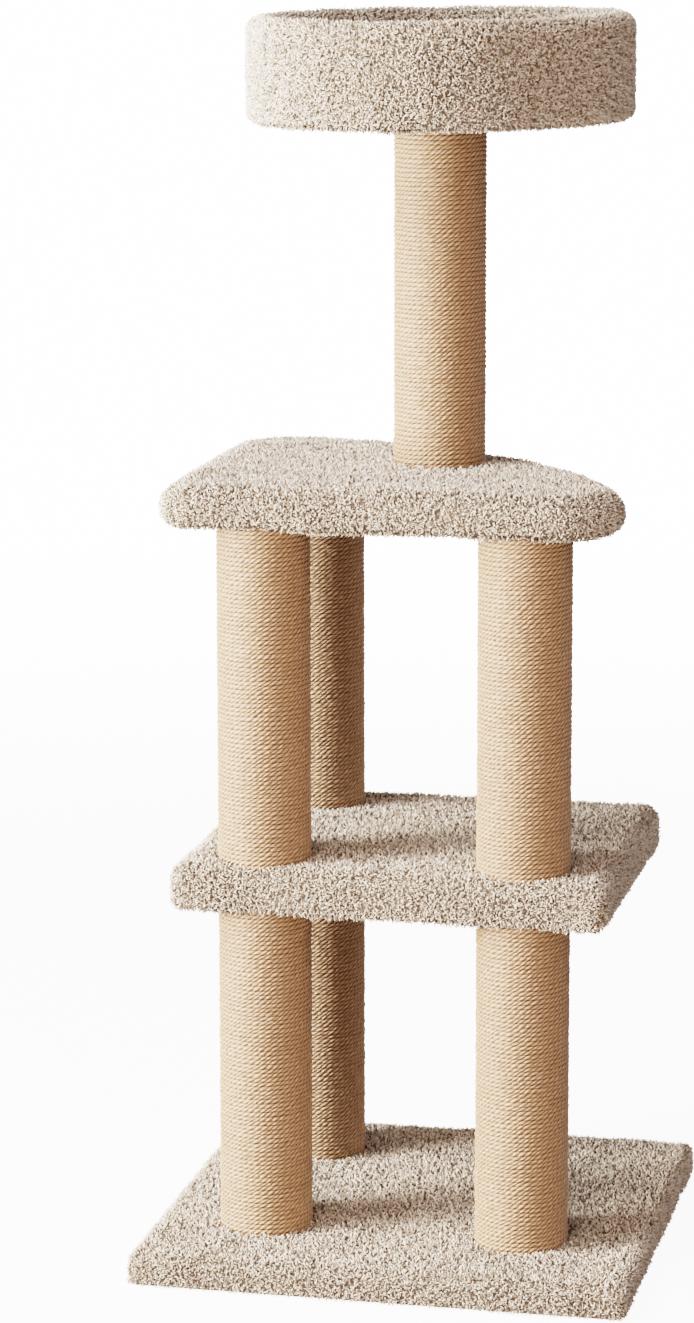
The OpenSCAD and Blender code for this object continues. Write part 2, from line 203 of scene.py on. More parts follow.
def unit(vectors):
    """Vectors scaled to length 1."""
    return vectors / np.maximum(np.linalg.norm(vectors, axis=-1, keepdims=True), 1e-12)


# ---------------------------------------------------------------- outlines and lofts
def outline(arcs, inset):
    """Points round a convex outline drawn in by inset; straight lines join arcs that don't touch."""
    rings = []
    for centre, radius, start, end in arcs:
        small = max(radius - inset, SHARP)
        half = math.radians(end - start) / 2
        middle = math.radians(start + end) / 2
        slide = (small - radius + inset) / math.cos(half)
        hub = np.array(centre) - slide * np.array([math.cos(middle), math.sin(middle)])
        turn = np.radians(np.linspace(start, end, ARC_POINTS))
        rings.append(hub + small * np.c_[np.cos(turn), np.sin(turn)])
    points = []
    for ring, after in zip(rings, rings[1:] + rings[:1]):
        gap = after[0] - ring[-1]
        if np.linalg.norm(gap) < TOUCHING:
            points.append(ring[:-1])
        else:
            share = np.linspace(0, 1, STRAIGHT_POINTS + 2)[1:-1, None]
            points += [ring, ring[-1] + share * gap]
    return np.concatenate(points)


def level_span(node):
    """A CAD node's lowest and highest Z."""
    low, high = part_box(node)
    return low.z, high.z


def circle(node):
    """A round CAD node's place and radius."""
    low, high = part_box(node)
    return (low.x + high.x) / 2, (low.y + high.y) / 2, (high.x - low.x) / 2


def rect_arcs(node, radius):
    """The four corner arcs of a rectangular CAD node."""
    low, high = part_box(node)
    left, right = low.x + radius, high.x - radius
    front, rear = low.y + radius, high.y - radius
    return [((right, rear), radius, 0, 90), ((left, rear), radius, 90, 180),
            ((left, front), radius, 180, 270), ((right, front), radius, 270, 360)]


def fan_arcs(node):
    """The top shelf's outline: a corner, and a curved edge that runs smoothly into its two ends."""
    low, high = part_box(node)
    right_c = np.array([high.x - FAN_END, low.y + FAN_END])
    rear_c = np.array([low.x + FAN_END, high.y - FAN_END])
    chord = np.linalg.norm(rear_c - right_c) / 2
    along = (rear_c - right_c) / (2 * chord)
    out = np.array([along[1], -along[0]])
    edge_c = (right_c + rear_c) / 2 - out * math.sqrt((FAN_EDGE - FAN_END) ** 2 - chord ** 2)
    start = math.degrees(math.atan2(*(right_c - edge_c)[::-1]))
    end = math.degrees(math.atan2(*(rear_c - edge_c)[::-1]))
    corner_c = (low.x + FAN_CORNER, low.y + FAN_CORNER)
    return [(corner_c, FAN_CORNER, 180, 270), (right_c, FAN_END, -90, start),
            (edge_c, FAN_EDGE, start, end), (rear_c, FAN_END, end, 180)]


def round_arcs(node):
    """The four quarters of a round CAD node."""
    x, y, radius = circle(node)
    return [((x, y), radius, a, a + 90) for a in (0, 90, 180, 270)]


def loft(arcs, profile, closed=False):
    """Rings of an outline at each (inset, height) of a profile: points, quads and the two end caps."""
    rings = [outline(arcs, inset) for inset, _ in profile]
    count = len(rings[0])
    points = np.concatenate([np.c_[ring, np.full(count, z)] for ring, (_, z) in zip(rings, profile)])
    here = np.arange(count)
    after = (here + 1) % count
    last = len(profile) - 1
    steps = [(k, k + 1) for k in range(last)] + ([(last, 0)] if closed else [])
    quads = [np.c_[a * count + here, a * count + after, b * count + after, b * count + here]
             for a, b in steps]
    caps = [] if closed else [here[None, ::-1], (last * count + here)[None]]
    return points, np.concatenate(quads), caps


def rolled_profile(low, high, low_roll, top_roll, hem, depth):
    """Section through a slab's carpet at a depth under its surface, from the hem's edge to the top."""
    steps = np.radians(np.linspace(0, 90, ROLL_STEPS + 1))
    low_r = max(low_roll - depth, SHARP / 2)
    top_r = max(top_roll - depth, SHARP / 2)
    low, high = low + depth, high - depth
    under = [(depth + low_r * (1 - math.sin(a)), low + low_r * (1 - math.cos(a))) for a in steps]
    over = [(depth + top_r * (1 - math.cos(a)), high - top_r * (1 - math.sin(a))) for a in steps]
    return [(hem, low)] + under + over


def triangles_of(points, quads, caps):
    """Triangles of a loft, its caps drawn from their middles."""
    parts = [quads[:, [0, 1, 2]], quads[:, [0, 2, 3]]]
    for cap in caps:
        ring = cap[0]
        hub = len(points)
        points = np.vstack([points, points[ring].mean(0)])
        parts.append(np.c_[ring, np.roll(ring, -1), np.full(len(ring), hub)])
    return points, np.concatenate(parts)


# ---------------------------------------------------------------- unevenness
def lumps(points, seed):
    """Smooth, repeatable unevenness of a carpet, in metres."""
    rng = np.random.default_rng(seed)
    heading = unit(rng.normal(size=(LUMP_WAVES, 3)))
    length = rng.uniform(*LUMP_LENGTHS, LUMP_WAVES)
    phase = rng.uniform(0, 2 * math.pi, LUMP_WAVES)
    turns = heading * (2 * math.pi / length)[:, None]
    return LUMP_SIZE * np.sin(points @ turns.T + phase).sum(1) / math.sqrt(LUMP_WAVES / 2)


def corner_creases(arcs, low, high):
    """Where the carpet is tucked at a slab's square corners: (x, y, lowest, highest)."""
    creases = []
    for centre, radius, start, end in arcs:
        if radius <= FAN_CORNER:
            a = math.radians(start + CREASE_PLACE * (end - start))
            x, y = centre[0] + radius * math.cos(a), centre[1] + radius * math.sin(a)
            creases.append((x, y, low, high))
    return creases


def creased(points, creases):
    """How far each point is drawn in by the creases near it."""
    drawn = np.zeros(len(points))
    for x, y, low, high in creases:
        away = np.hypot(points[:, 0] - x, points[:, 1] - y)
        rise = np.clip((points[:, 2] - low) / (high - low), 0, 1)
        drawn += CREASE_DEPTH * np.exp(-(away / CREASE_WIDTH) ** 2) * np.clip(CREASE_TOP - rise, 0, 1)
    return drawn


# ---------------------------------------------------------------- pile
def scatter(points, triangles, rng):
    """Spots spread evenly over a surface, closest on its upright faces, with their normals."""
    a, b, c = (points[triangles[:, k]] for k in range(3))
    cross = np.cross(b - a, c - a)
    area = np.linalg.norm(cross, axis=1) / 2
    facing = unit(cross)[:, 2]
    corner_normals = np.zeros_like(points)
    for k in range(3):
        np.add.at(corner_normals, triangles[:, k], cross)
    corner_normals = unit(corner_normals)
    kinds = ((np.abs(facing) < LEVEL_FACE, SIDE_CELL), (facing >= LEVEL_FACE, TOP_CELL),
             (facing <= -LEVEL_FACE, UNDER_CELL))
    spots, normals = [], []
    for kind, cell in kinds:
        if not kind.any():
            continue
        share = area * kind
        count = int(share.sum() / cell ** 2 * SPOTS_PER_CELL)
        pick = rng.choice(len(triangles), count, p=share / share.sum())
        u, v = rng.random(count), rng.random(count)
        flip = u + v > 1
        u[flip], v[flip] = 1 - u[flip], 1 - v[flip]
        weights = np.c_[1 - u - v, u, v]
        corners = triangles[pick]
        place = np.einsum("nk,nkd->nd", weights, points[corners])
        keys = np.floor(place / cell).astype(np.int64) @ CELL_KEY
        _, first = np.unique(keys, return_index=True)
        spots.append(place[first])
        normals.append(unit(np.einsum("nk,nkd->nd", weights[first], corner_normals[corners[first]])))
    return np.concatenate(spots), np.concatenate(normals)


def tufts(roots, normals, kind, rng):
    """Curved hairs of one kind on their roots.

    Returns points, quads, end triangles, and each point's tone and height.
    """
    count = len(roots)
    side = unit(np.cross(normals, rng.normal(size=(count, 3))))
    other = np.cross(normals, side)
    keys = ("lean", "bend", "length", "girth")
    lean, bend, length, girth = (rng.uniform(*kind[key], count) for key in keys)
    spin = rng.uniform(0, 2 * math.pi, count)
    rings, heights = [], []
    for share, size in ((0.0, 0.0),) + TUFT_RINGS + ((1.0, 0.0),):
        angle = lean + bend * share
        rise = length * (np.sin(angle) - np.sin(lean)) / bend
        drift = length * (np.cos(lean) - np.cos(angle)) / bend
        centre = roots + normals * rise[:, None] + side * drift[:, None]
        across = side * np.cos(angle)[:, None] - normals * np.sin(angle)[:, None]
        for k in range(TUFT_SIDES if size else 1):
            turn = spin + 2 * math.pi * k / TUFT_SIDES
            reach = (girth * size)[:, None]
            spoke = np.cos(turn)[:, None] * other + np.sin(turn)[:, None] * across
            rings.append(centre + reach * spoke)
            heights.append(rise)
    points = np.stack(rings, 1)
    per_tuft = points.shape[1]
    ring = np.arange(TUFT_SIDES)
    after = (ring + 1) % TUFT_SIDES
    starts = [1 + r * TUFT_SIDES for r in range(len(TUFT_RINGS))]
    quads = np.concatenate([np.c_[a + ring, a + after, b + after, b + ring]
                            for a, b in zip(starts, starts[1:])])
    ends = np.concatenate([np.c_[1 + after, 1 + ring, 0 * ring],
                           np.c_[starts[-1] + ring, starts[-1] + after, 0 * ring + per_tuft - 1]])
    offsets = (np.arange(count) * per_tuft)[:, None, None]
    tone = np.repeat(rng.random(count), per_tuft)
    height = np.stack(heights, 1).ravel() / PILE_DEPTH
    return (points.reshape(-1, 3), (quads[None] + offsets).reshape(-1, 4),
            (ends[None] + offsets).reshape(-1, 3), tone, height)


def add_pile(node, surface, seed, keep=None, creases=(), floor=None):
    """Covers a surface with tufts, in as many pieces as the face limit asks for."""
    rng = np.random.default_rng(seed)
    spots, normals = scatter(*surface, rng)
    if keep is not None:
        kept = keep(spots, normals)
        spots, normals = spots[kept], normals[kept]
    raised = lumps(spots, seed) - creased(spots, creases) - PILE_DEPTH
    roots = spots + normals * raised[:, None]
    faces_each = 2 * TUFT_SIDES * len(TUFT_RINGS)      # in triangles
    parts = math.ceil(len(roots) * faces_each / MESH_FACES_MAX)
    order = np.argsort(roots[:, 0] + SPLIT_SLANT * roots[:, 1], kind="stable")
    for number, chosen in enumerate(np.array_split(order, parts)):
        points, quads, ends, tone, height = tufts(roots[chosen], normals[chosen], YARN, rng)
        if floor is not None:
            points[:, 2] = np.maximum(points[:, 2], floor)
        piece = make_object(f"{node}_pile_{number + 1}", points, [quads, ends],
                            [("tone", tone), ("height", height)])
        stand_in(piece, materials["yarn"], node)


def add_backing(node, arcs, profile, creases=(), closed=False):
    """The carpet's backing, one closed shell under the pile."""
    points, quads, caps = loft(arcs, profile, closed)
    outward = points - points.mean(0)
    outward[:, 2] *= BACKING_TILT
    points -= unit(outward) * creased(points, creases)[:, None]
    piece = make_object(f"{node}_backing", points, [quads] + caps, smooth=False)
    stand_in(piece, materials["backing"], node)


def off_posts(above, below):
    """A test that keeps the spots no post covers: posts above a slab stand on its upward faces,
    and posts below it meet its downward ones."""
    def keep(spots, normals):
        free = np.ones(len(spots), bool)
        up, down = normals[:, 2] > LEVEL_FACE, normals[:, 2] < -LEVEL_FACE
        for posts, facing in ((above, up), (below, down)):
            for x, y, radius in posts:
                covered = np.hypot(spots[:, 0] - x, spots[:, 1] - y) < radius + POST_MARGIN
                free &= ~(covered & facing)
        return free
    return keep


# ---------------------------------------------------------------- materials
# Places of a Mix node's colour sockets, which share their names with others
MIX_FACTOR, MIX_FIRST, MIX_SECOND, MIX_RESULT = 0, 6, 7, 2


def new_material(name, roughness):
    """A material with a Principled shader: its node tree and that shader."""
    material = bpy.data.materials.new(name)
    material.use_nodes = True
    tree = material.node_tree
    shader = tree.nodes["Principled BSDF"]
    shader.inputs["Roughness"].default_value = roughness
    return material, tree, shader


def put(tree, kind, inputs, **settings):
    """A node with its settings; each input is linked to a socket or given a value."""
    made = tree.nodes.new(kind)
    for key, value in settings.items():
        setattr(made, key, value)
    for name, value in inputs.items():
        if isinstance(value, bpy.types.NodeSocket):
            tree.links.new(value, made.inputs[name])
        else:
            made.inputs[name].default_value = value
    return made


def ramp(tree, factor, stops):
    """A colour ramp over a factor, from (place, colour) stops."""
    made = put(tree, "ShaderNodeValToRGB", {"Fac": factor})
    elements = made.color_ramp.elements
    while len(elements) < len(stops):
        elements.new(0.5)
    for element, (place, colour) in zip(elements, stops):
        element.position = place
        element.color = (*colour, 1)
    return made.outputs["Color"]


def noise(tree, vector, scale, detail=2.0, roughness=0.5):
    """Smooth noise over a vector, as a factor."""
    inputs = {"Vector": vector, "Scale": scale, "Detail": detail, "Roughness": roughness}
    return put(tree, "ShaderNodeTexNoise", inputs).outputs["Fac"]


def bands(tree, vector, scale, direction, distortion):
    """Parallel bands across a direction, as a factor."""
    inputs = {"Vector": vector, "Scale": scale, "Distortion": distortion}
    return put(tree, "ShaderNodeTexWave", inputs, bands_direction=direction).outputs["Fac"]


def stretched(tree, vector, scale):
    return put(tree, "ShaderNodeMapping", {"Vector": vector, "Scale": scale}).outputs["Vector"]


def multiplied(tree, factor, first, second):
    """Two colour sockets multiplied, by a constant factor."""
    made = tree.nodes.new("ShaderNodeMix")
    made.data_type = "RGBA"
    made.blend_type = "MULTIPLY"
    made.inputs[MIX_FACTOR].default_value = factor
    tree.links.new(first, made.inputs[MIX_FIRST])
    tree.links.new(second, made.inputs[MIX_SECOND])
    return made.outputs[MIX_RESULT]


def bumped(tree, shader, height, strength, distance):
    """Gives a shader bump from a height."""
    inputs = {"Height": height, "Strength": strength, "Distance": distance}
    made = put(tree, "ShaderNodeBump", inputs)
    tree.links.new(made.outputs["Normal"], shader.inputs["Normal"])


def attribute(tree, name, output="Fac"):
    return put(tree, "ShaderNodeAttribute", {}, attribute_name=name).outputs[output]


def place_of(tree):
    return tree.nodes.new("ShaderNodeTexCoord").outputs["Object"]


def yarn_material():
    """Wool-like twisted yarn: cream with some greyer tufts, and painted shade that darkens it towards
    the roots.
    """
    material, tree, shader = new_material("carpet_yarn", 0.9)
    place = place_of(tree)
    tone = ramp(tree, attribute(tree, "tone"),
                [(0.0, (0.43, 0.36, 0.295)), (0.2, (0.75, 0.675, 0.595)),
                 (0.6, (0.89, 0.835, 0.765)), (1.0, (0.95, 0.915, 0.865))])
    patches = ramp(tree, noise(tree, place, 17.0, 3.0),
                   [(0.3, (0.90, 0.895, 0.89)), (0.7, (1.0, 1.0, 1.0))])
    fibres = ramp(tree, noise(tree, place, 1900.0, 2.0, 0.7),
                  [(0.3, (0.80, 0.79, 0.78)), (0.7, (1.0, 1.0, 1.0))])
    # painted shade between the tufts: the yarn is darkened towards its roots by the height attribute
    depth = ramp(tree, attribute(tree, "height"),
                 [(0.3, (0.28, 0.24, 0.20)), (0.8, (0.86, 0.84, 0.81)), (1.0, (1.0, 1.0, 1.0))])
    colour = multiplied(tree, 1.0, tone, patches)
    colour = multiplied(tree, 1.0, colour, fibres)
    colour = multiplied(tree, 1.0, colour, depth)
    tree.links.new(colour, shader.inputs["Base Color"])
    shader.inputs["Sheen Weight"].default_value = 0.25
    shader.inputs["Sheen Roughness"].default_value = 0.6
    shader.inputs["Specular IOR Level"].default_value = 0.2
    bumped(tree, shader, noise(tree, place, 1500.0, 2.0), 0.5, 0.0004)
    return material


def backing_material():
    """Woven backing with latex, seen only between the tufts; its dark colour is partly its own and
    partly painted shade between the tufts.
    """
    material, tree, shader = new_material("carpet_backing", 0.95)
    place = place_of(tree)
    weave = noise(tree, place, 620.0, 2.0)
    # dark brown: partly the backing's own colour, partly painted shade between the tufts
    colour = ramp(tree, weave, [(0.3, (0.115, 0.098, 0.078)), (0.7, (0.20, 0.17, 0.135))])
    tree.links.new(colour, shader.inputs["Base Color"])
    bumped(tree, shader, weave, 0.6, 0.0006)
    return material


def sisal_material():
    """Straw-coloured rope: streaks along the strands, some browner fibres, and painted shade in the
    grooves, in the crevices between wraps and on the wraps' shoulders.
    """
    material, tree, shader = new_material("sisal_rope", 0.45)
    lay = attribute(tree, "lay", "Vector")
    streaks = noise(tree, stretched(tree, lay, (2600.0, 190.0, 1.0)), 1.0, 3.0, 0.6)
    straw = ramp(tree, streaks, [(0.3, (0.25, 0.137, 0.073)), (0.5, (0.49, 0.332, 0.208)),
                                 (0.7, (0.69, 0.542, 0.387))])
    patches = ramp(tree, noise(tree, lay, 9.0, 3.0, 0.6),
                   [(0.3, (0.90, 0.87, 0.83)), (0.7, (1.0, 1.0, 1.0))])
    strands = ramp(tree, noise(tree, lay, 170.0, 2.0, 0.6),
                   [(0.3, (0.74, 0.70, 0.64)), (0.6, (1.0, 1.0, 1.0))])
    # painted shade from the crest attribute: darkest in the crevices between wraps, darker in the
    # grooves between strands and on the wraps' shoulders
    painted_groove_shade = ramp(tree, attribute(tree, "crest"),
                   [(0.0, (0.19, 0.14, 0.10)), (0.35, (0.52, 0.43, 0.34)), (0.7, (1.0, 1.0, 1.0))])
    colour = multiplied(tree, 1.0, straw, patches)
    colour = multiplied(tree, 1.0, colour, strands)
    colour = multiplied(tree, 1.0, colour, painted_groove_shade)
    tree.links.new(colour, shader.inputs["Base Color"])
    shader.inputs["Sheen Weight"].default_value = 0.1
    shader.inputs["Specular IOR Level"].default_value = 0.8
    bumped(tree, shader, streaks, 0.8, 0.0008)
    return material


def cardboard_material():
    """Spiral-wound paper tube: fine fibres, and the slanted edge of the paper strip."""
    material, tree, shader = new_material("cardboard_tube", 0.85)
    place = place_of(tree)
    fibres = noise(tree, stretched(tree, place, (240.0, 240.0, 900.0)), 1.0, 4.0)
    colour = ramp(tree, fibres, [(0.3, (0.27, 0.185, 0.11)), (0.7, (0.40, 0.29, 0.185))])
    strips = bands(tree, stretched(tree, place, (4.0, 4.0, 11.0)), 1.0, "DIAGONAL", 0.4)
    edges = ramp(tree, strips, [(0.0, (0.62, 0.58, 0.54)), (0.06, (1.0, 1.0, 1.0))])
    tree.links.new(multiplied(tree, 1.0, colour, edges), shader.inputs["Base Color"])
    bumped(tree, shader, fibres, 0.3, 0.0003)
    return material


def plywood_material():
    """Birch plywood: grain along X, and thin darker plies stacked in Z."""
    material, tree, shader = new_material("plywood", 0.6)
    place = place_of(tree)
    grain = noise(tree, stretched(tree, place, (14.0, 170.0, 40.0)), 1.0, 5.0, 0.6)
    wood = ramp(tree, grain, [(0.3, (0.47, 0.31, 0.165)), (0.55, (0.61, 0.44, 0.26)),
                              (0.75, (0.68, 0.51, 0.32))])
    plies = bands(tree, place, 62.0, "Z", 0.3)
    dark = ramp(tree, plies, [(0.3, (0.70, 0.60, 0.50)), (0.5, (1.0, 1.0, 1.0))])
    tree.links.new(multiplied(tree, 0.7, wood, dark), shader.inputs["Base Color"])
    bumped(tree, shader, grain, 0.25, 0.0003)
    return material


def steel_material():
    """Zinc-plated steel with fine scratches and slight stains."""
    material, tree, shader = new_material("zinc_steel", 0.35)
    place = place_of(tree)
    scratches = noise(tree, stretched(tree, place, (300.0, 300.0, 3000.0)), 1.0, 3.0)
    colour = ramp(tree, noise(tree, place, 90.0, 3.0),
                  [(0.3, (0.50, 0.51, 0.53)), (0.7, (0.68, 0.69, 0.70))])
    tree.links.new(colour, shader.inputs["Base Color"])
    rough = put(tree, "ShaderNodeMapRange", {"Value": scratches, "To Min": 0.25, "To Max": 0.5})
    tree.links.new(rough.outputs["Result"], shader.inputs["Roughness"])
    shader.inputs["Metallic"].default_value = 1.0
    bumped(tree, shader, scratches, 0.15, 0.0001)
    return material


# ---------------------------------------------------------------- rope
def strayed(angle, height, seed, waves):
    """A sum of slow waves along a winding."""
    return sum(strength * np.sin(around * angle + up * height + phase * seed)
               for strength, around, up, phase in waves)


def rope_strip(centre, foot, head, radius, dents, seed):
    """The seen half of a laid rope wound wrap on wrap, as a grid of points with two attributes.

    The grid runs along the winding. Its columns lean with the strands, so that every groove
    between strands falls on a column, and each wrap's upper row lies on the next wrap's lower row.
    Returns the grid, its crest attribute, which carries painted shade, its lay attribute, and the
    number of columns in a turn.
    """
    wraps = round((head - foot) / ROPE_PITCH)
    pitch = (head - foot) / wraps
    reach = math.radians(ROPE_REACH)
    ply = (pitch / 2 - WRAP_GAP) / math.sin(reach)
    round_r = radius - ply
    lay_columns = STRANDS * LOBE_COLUMNS
    turn_columns = LOBE_COLUMNS * round(2 * math.pi * round_r / (ROPE_LAY / STRANDS))
    step = 2 * math.pi * round_r / turn_columns
    columns = turn_columns * (wraps - 1) - lay_columns // 2
    across = np.clip(np.arange(-1, ROPE_ROWS + 2), 0, ROPE_ROWS) / ROPE_ROWS * 2 - 1
    valley = np.zeros(ROPE_ROWS + 3, bool)
    valley[[0, -1]] = True
    i, share = np.meshgrid(np.arange(columns + 1), across, indexing="ij")
    lift = reach * share
    lean = 0.25 + lift / (2 * math.pi)     # in lays: a quarter at the crest, less below it
    run = step * (i + lay_columns * lean)
    turns = run / (2 * math.pi * round_r)
    groove = 1 - np.sin(math.pi * (i % LOBE_COLUMNS) / LOBE_COLUMNS)
    rng = np.random.default_rng(seed)
    bulge = rng.uniform(-1, 1, columns // LOBE_COLUMNS + 2)[i // LOBE_COLUMNS]
    swell = ply * (1 - STRAND_GROOVE * groove) * (1 + STRAND_UNEVEN * bulge * (1 - groove))
    swell += ROPE_WANDER * sum(np.sin(turns * rate + phase) for rate, phase in WANDER_WAVES)
    angle = math.pi / 2 + 2 * math.pi * turns
    out = np.where(valley, round_r, round_r + swell * np.cos(lift))
    height = foot + pitch * (turns + 0.5) + np.where(valley, pitch / 2 * share, ply * np.sin(lift))
    for z in dents:
        away = np.hypot(radius * np.cos(angle) / STAPLE_STRETCH, height - z)
        out -= STAPLE_DENT * np.exp(-(away / STAPLE_REACH) ** 2) * (np.sin(angle) > 0)
    drift = strayed(angle, height, seed, DRIFT_WAVES)
    slip = strayed(angle, height, seed, SLIP_WAVES)
    ends = np.clip((height - foot) * (head - height) / (head - foot) / ROPE_FADE, 0, 1)
    height += ROPE_DRIFT / 2 * drift * ends
    angle += ROPE_SLIP * slip * ends
    grid = np.stack([centre[0] + out * np.cos(angle), centre[1] + out * np.sin(angle), height], -1)
    # painted shade for the sisal's colour: 0 in the crevices between wraps, lower on the wraps'
    # shoulders and in the grooves between strands
    crest = np.where(valley, 0, (1 - SHOULDER_PAINTED_SHADE * share ** 2) * (1 - GROOVE_PAINTED_SHADE * groove))
    lay = np.stack([i * step, lift * ply, np.zeros_like(turns)], -1)
    return grid, crest, lay, turn_columns


def add_rope(node, core_node, seed):
    """A post's rope winding, closed towards the core at its two ends."""
    foot, head = level_span(node)
    x, y, radius = circle(node)
    centre = np.array([x, y])
    core_r = circle(core_node)[2] + CLEARANCE
    dents = (foot + STAPLE_RISE, head - STAPLE_RISE)
    grid, crest, lay, turn = rope_strip(centre, foot, head, radius, dents, seed)
    index = np.arange(crest.size).reshape(crest.shape)
    corners = (index[:-1, :-1], index[1:, :-1], index[1:, 1:], index[:-1, 1:])
    quads = [np.stack([c.ravel() for c in corners], 1)]
    cuts = np.stack([index[0, ::-1], index[-1]])
    points = [grid.reshape(-1, 3)]
    total = len(points[0])
    for edge in (index[:turn + 1, 0], index[-turn - 1:, -1][::-1]):
        inner = points[0][edge].copy()
        inner[:, :2] = centre + core_r * unit(inner[:, :2] - centre)
        ids = total + np.arange(turn + 1)
        quads.append(np.c_[edge[:-1], ids[:-1], ids[1:], edge[1:]])
        points.append(inner)
        total += turn + 1
    bare = total - crest.size
    # the end rings, which close the winding towards the core, get crest 0: the darkest painted shade
    crest = np.concatenate([crest.ravel(), np.zeros(bare)])
    lay = np.vstack([lay.reshape(-1, 3), np.zeros((bare, 3))])
    piece = make_object(f"{node}_winding", np.vstack(points), [np.concatenate(quads), cuts],
                        [("crest", crest), ("lay", lay)])
    stand_in(piece, materials["sisal"], node)


def add_fibres(node, seed):
    """Loose fibres that stand out a little from a post's rope."""
    foot, head = level_span(node)
    x, y, radius = circle(node)
    rng = np.random.default_rng(seed)
    angle = rng.uniform(0, 2 * math.pi, FIBRE_COUNT)
    height = rng.uniform(foot + FIBRE_MARGIN, head - FIBRE_MARGIN, FIBRE_COUNT)
    out = np.c_[np.cos(angle), np.sin(angle), np.zeros(FIBRE_COUNT)]
    axis = np.c_[np.full(FIBRE_COUNT, x), np.full(FIBRE_COUNT, y), height]
    roots = axis + (radius - FIBRE_ROOT) * out
    points, quads, ends, _, _ = tufts(roots, out, FIBRE, rng)
    # crest 1: the loose fibres get no painted shade
    piece = make_object(f"{node}_fibres", points, [quads, ends],
                        [("crest", np.ones(len(points))), ("lay", points)])
    stand_in(piece, materials["sisal"], node)


# ---------------------------------------------------------------- the tree's pieces
def add_slab(node, arcs, rolls, hem, seed, above, below, rise=0.0, sag=0.0):
    """A slab's carpet: a backing, and pile on its top, its sides and its hem underneath.

    above and below are the posts that meet the slab. rise and sag are how far the pile stands
    off the CAD's top and underside.
    """
    board = node.replace("carpet", "board")
    low, high = level_span(node)
    low, high = low - sag, high + rise
    board_low, board_high = level_span(board)
    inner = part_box(board)[0].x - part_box(node)[0].x - CLEARANCE
    creases = corner_creases(arcs, low, high)
    inside = [(inner, board_high + CLEARANCE), (inner, board_low - CLEARANCE),
              (hem, board_low - CLEARANCE)]
    under = low + min(BACKING_DEPTH, (board_low - low) * BACKING_SHARE)
    outside = rolled_profile(low, high, *rolls, hem, BACKING_DEPTH)
    outside[0] = (hem, under)
    outside[1] = (outside[1][0], under)
    add_backing(node, arcs, inside + outside, creases)
    points, quads, caps = loft(arcs, rolled_profile(low, high, *rolls, hem, 0.0))
    surface = triangles_of(points, quads, caps[1:])
    keep = off_posts(above, below)
    stands_flat = board_low - low < BACKING_DEPTH      # the base, whose hem lies on the floor

    def seen(spots, normals):
        return keep(spots, normals) & ~((normals[:, 2] < -FLOOR_FACE) & stands_flat)

    add_pile(node, surface, seed, seen, creases, floor=CLEARANCE)


def add_patch(node, arcs, inset, seed, below=(), facing=-1):
    """A flat carpet patch: pile downwards under a slab, or upwards on the bed's floor."""
    low, high = level_span(node)
    levels = (low + CLEARANCE, high - BACKING_DEPTH)
    if facing < 0:
        levels = (low + BACKING_DEPTH, high - CLEARANCE)
    add_backing(node, arcs, [(inset, z) for z in levels])
    edge = outline(arcs, inset)
    points = np.c_[edge, np.full(len(edge), low if facing < 0 else high)]
    hub = len(points)
    ring = np.arange(hub)
    fan = np.c_[ring, np.roll(ring, -1), np.full(hub, hub)]
    surface = (np.vstack([points, points.mean(0)]), fan if facing > 0 else fan[:, ::-1])
    add_pile(node, surface, seed, off_posts((), below))


def bed_path(low, high, outer_r, inner_r, patch_r, stop, depth):
    """Section through the bed's carpet at a depth under its surface.

    Its (radius, height) points run from the hem, up the wall, over the rim and down inside.
    """
    roll = BED_LOW_ROLL - depth
    wall_r, foot = outer_r - depth, low + depth
    rim_r = (outer_r - inner_r) / 2
    rim = rim_r - depth
    quarter = np.radians(np.linspace(0, 90, ROLL_STEPS + 1))
    half = np.radians(np.linspace(0, 180, 2 * ROLL_STEPS + 1))
    path = [(patch_r, foot)]
    path += [(wall_r - roll * (1 - math.sin(a)), foot + roll * (1 - math.cos(a))) for a in quarter]
    path += [(inner_r + rim_r + rim * math.cos(a), high - rim_r + rim * math.sin(a)) for a in half]
    return path + [(inner_r + depth, stop)]


def add_bed(seed):
    """The bed's carpet: one strip up the wall, over the rim and down inside, turned in underneath."""
    node = "bed_wrap_carpet"
    low, high = level_span(node)
    high += BED_RISE
    floor_low, floor_high = level_span("bed_floor_carpet")
    hoop_low, hoop_high = level_span("bed_hoop")
    outer_r, hoop_r, hoop_in_r, floor_r, patch_r = (circle(name)[2] for name in (
        node, "bed_hoop", "bed_floor_board", "bed_floor_carpet", "bed_underside_carpet"))
    arcs = round_arcs(node)
    hem_r = patch_r + SEAM_GAP / 2
    gap = CLEARANCE
    path = bed_path(low, high, outer_r, floor_r, hem_r, floor_low + gap, BACKING_DEPTH)
    path += [(hoop_in_r - gap, floor_low + gap), (hoop_in_r - gap, hoop_high + gap),
             (hoop_r + gap, hoop_high + gap), (hoop_r + gap, hoop_low - gap), (hem_r, hoop_low - gap)]
    add_backing(node, arcs, [(outer_r - r, z) for r, z in path], closed=True)
    path = bed_path(low, high, outer_r, floor_r, hem_r, floor_high, 0.0)
    points, quads, _ = loft(arcs, [(outer_r - r, z) for r, z in path])
    points[:, 2] += BED_TILT * (points[:, 0] - circle(node)[0])
    add_pile(node, triangles_of(points, quads, ()), seed)
    add_patch("bed_floor_carpet", round_arcs("bed_floor_carpet"), 0.0, seed + 1, facing=1)
    add_patch("bed_underside_carpet", round_arcs("bed_underside_carpet"), SEAM_GAP / 2, seed + 2,
              below=[circle("bed_post_rope")])


